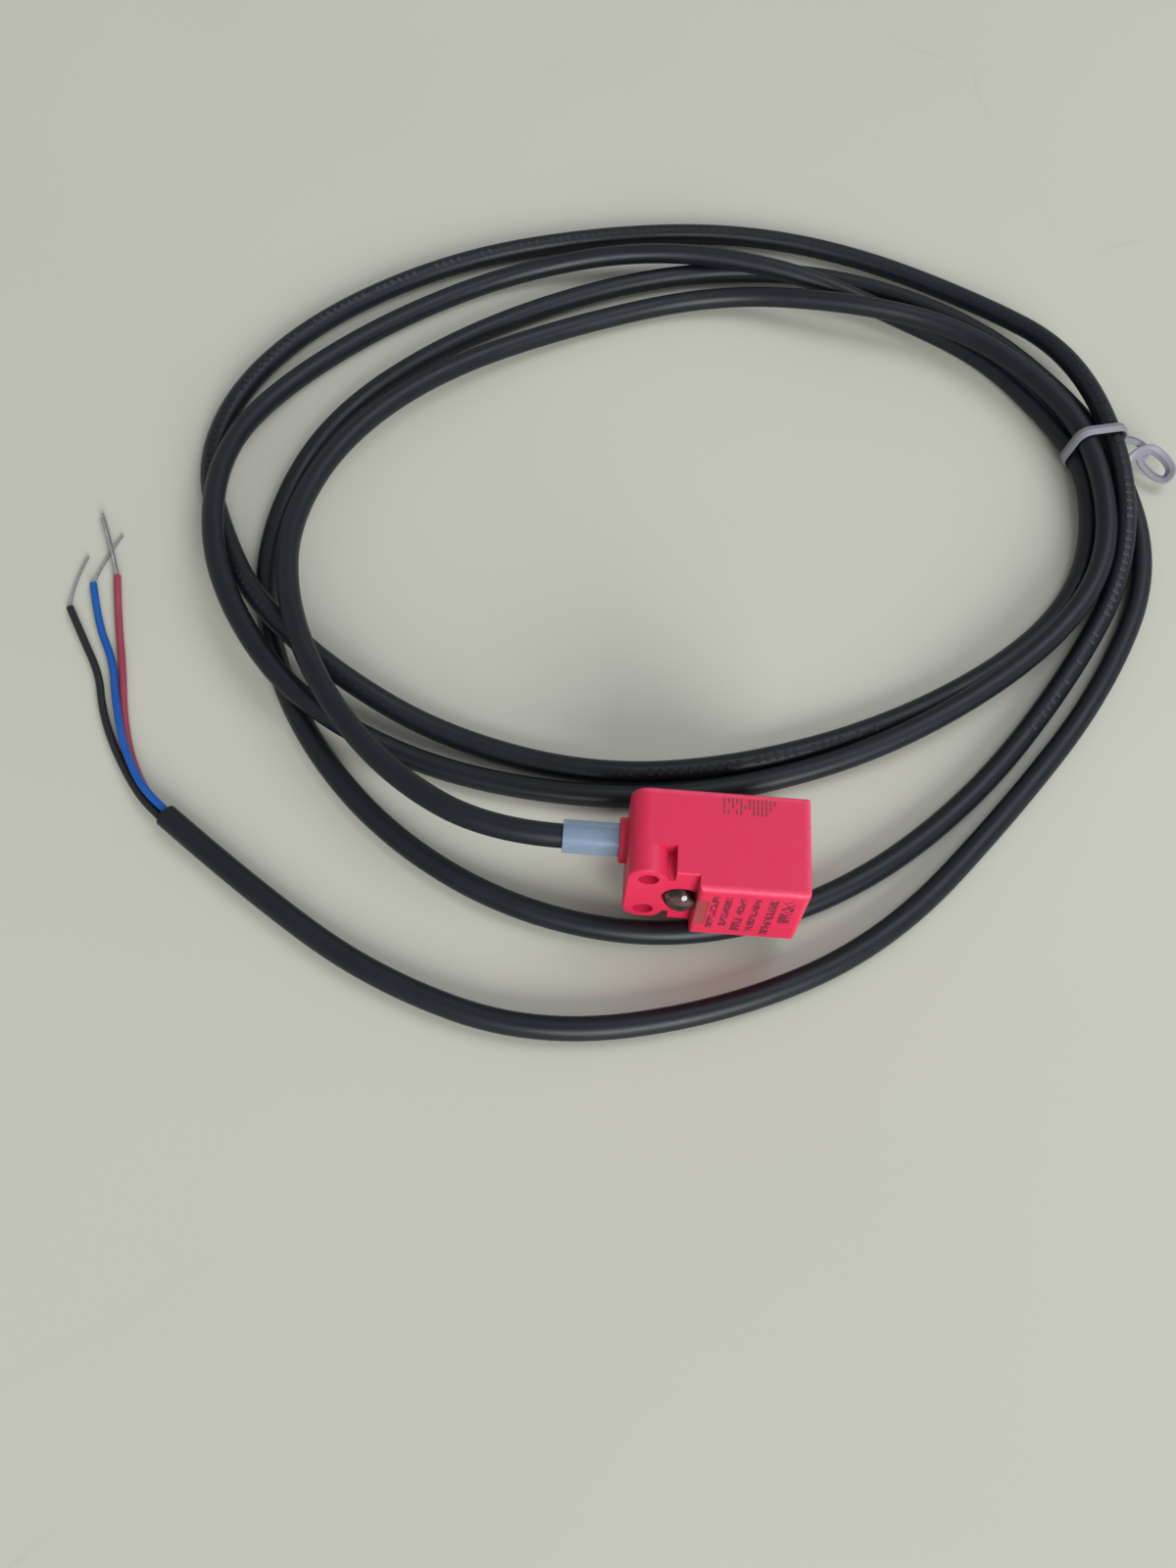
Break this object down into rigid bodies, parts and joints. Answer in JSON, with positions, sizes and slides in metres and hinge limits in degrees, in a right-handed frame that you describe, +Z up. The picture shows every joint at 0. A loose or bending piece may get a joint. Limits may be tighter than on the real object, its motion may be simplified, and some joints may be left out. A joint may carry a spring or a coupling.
{
  "type": "proximity sensor",
  "caption": "Small block-shaped inductive proximity sensor with a screw flange, a clear status lamp window and a coiled captive cable.",
  "frame": {"origin": "centre of the sensing face", "axes": "+X is the sensing direction, +Y is towards the mounting face, -Y is the label side with the indicator, +Z is up as the sensor lies on its side on its own cable"},
  "size_m": [0.2056, 0.1826, 0.0213],
  "materials": {
    "housing_plastic": "satin, lightly textured moulded PBT",
    "potting_resin": "cast epoxy",
    "window_plastic": "clear moulded polycarbonate",
    "lamp_epoxy": "clear epoxy over a tinned lead frame",
    "board_laminate": "solder-masked glass epoxy",
    "chip_epoxy": "moulded",
    "ceramic_chip": "sintered",
    "ferrite": "sintered",
    "bobbin_nylon": "moulded",
    "enamelled_copper": "enamelled wire",
    "solder": "bright",
    "sleeve_pvc": "translucent PVC",
    "jacket_pvc": "satin extruded PVC",
    "brown_pvc": "extruded PVC",
    "black_pvc": "extruded PVC",
    "blue_pvc": "extruded PVC",
    "tinned_copper": "twisted strands",
    "tie_plastic": "soft plastic strip over wire"
  },
  "bodies": {
    "root": {"housing": "housing_plastic", "base_cover": "housing_plastic", "potting_compound": "potting_resin", "indicator_window": "window_plastic", "indicator_lamp": "lamp_epoxy", "circuit_board": "board_laminate", "oscillator_chip": "chip_epoxy", "output_transistor": "chip_epoxy", "chip_capacitors": "ceramic_chip", "chip_resistors": "chip_epoxy", "surge_diodes": "chip_epoxy", "ferrite_core": "ferrite", "coil_bobbin": "bobbin_nylon", "coil_winding": "enamelled_copper", "coil_wires": "enamelled_copper", "solder_joints": "solder", "strain_relief_sleeve": "sleeve_pvc", "cable_entry": "jacket_pvc", "brown_wire": "brown_pvc", "black_wire": "black_pvc", "blue_wire": "blue_pvc", "cable": "jacket_pvc", "brown_core": "brown_pvc", "black_core": "black_pvc", "blue_core": "blue_pvc", "brown_strands": "tinned_copper", "black_strands": "tinned_copper", "blue_strands": "tinned_copper", "twist_tie": "tie_plastic"}
  },
  "joints": []
}
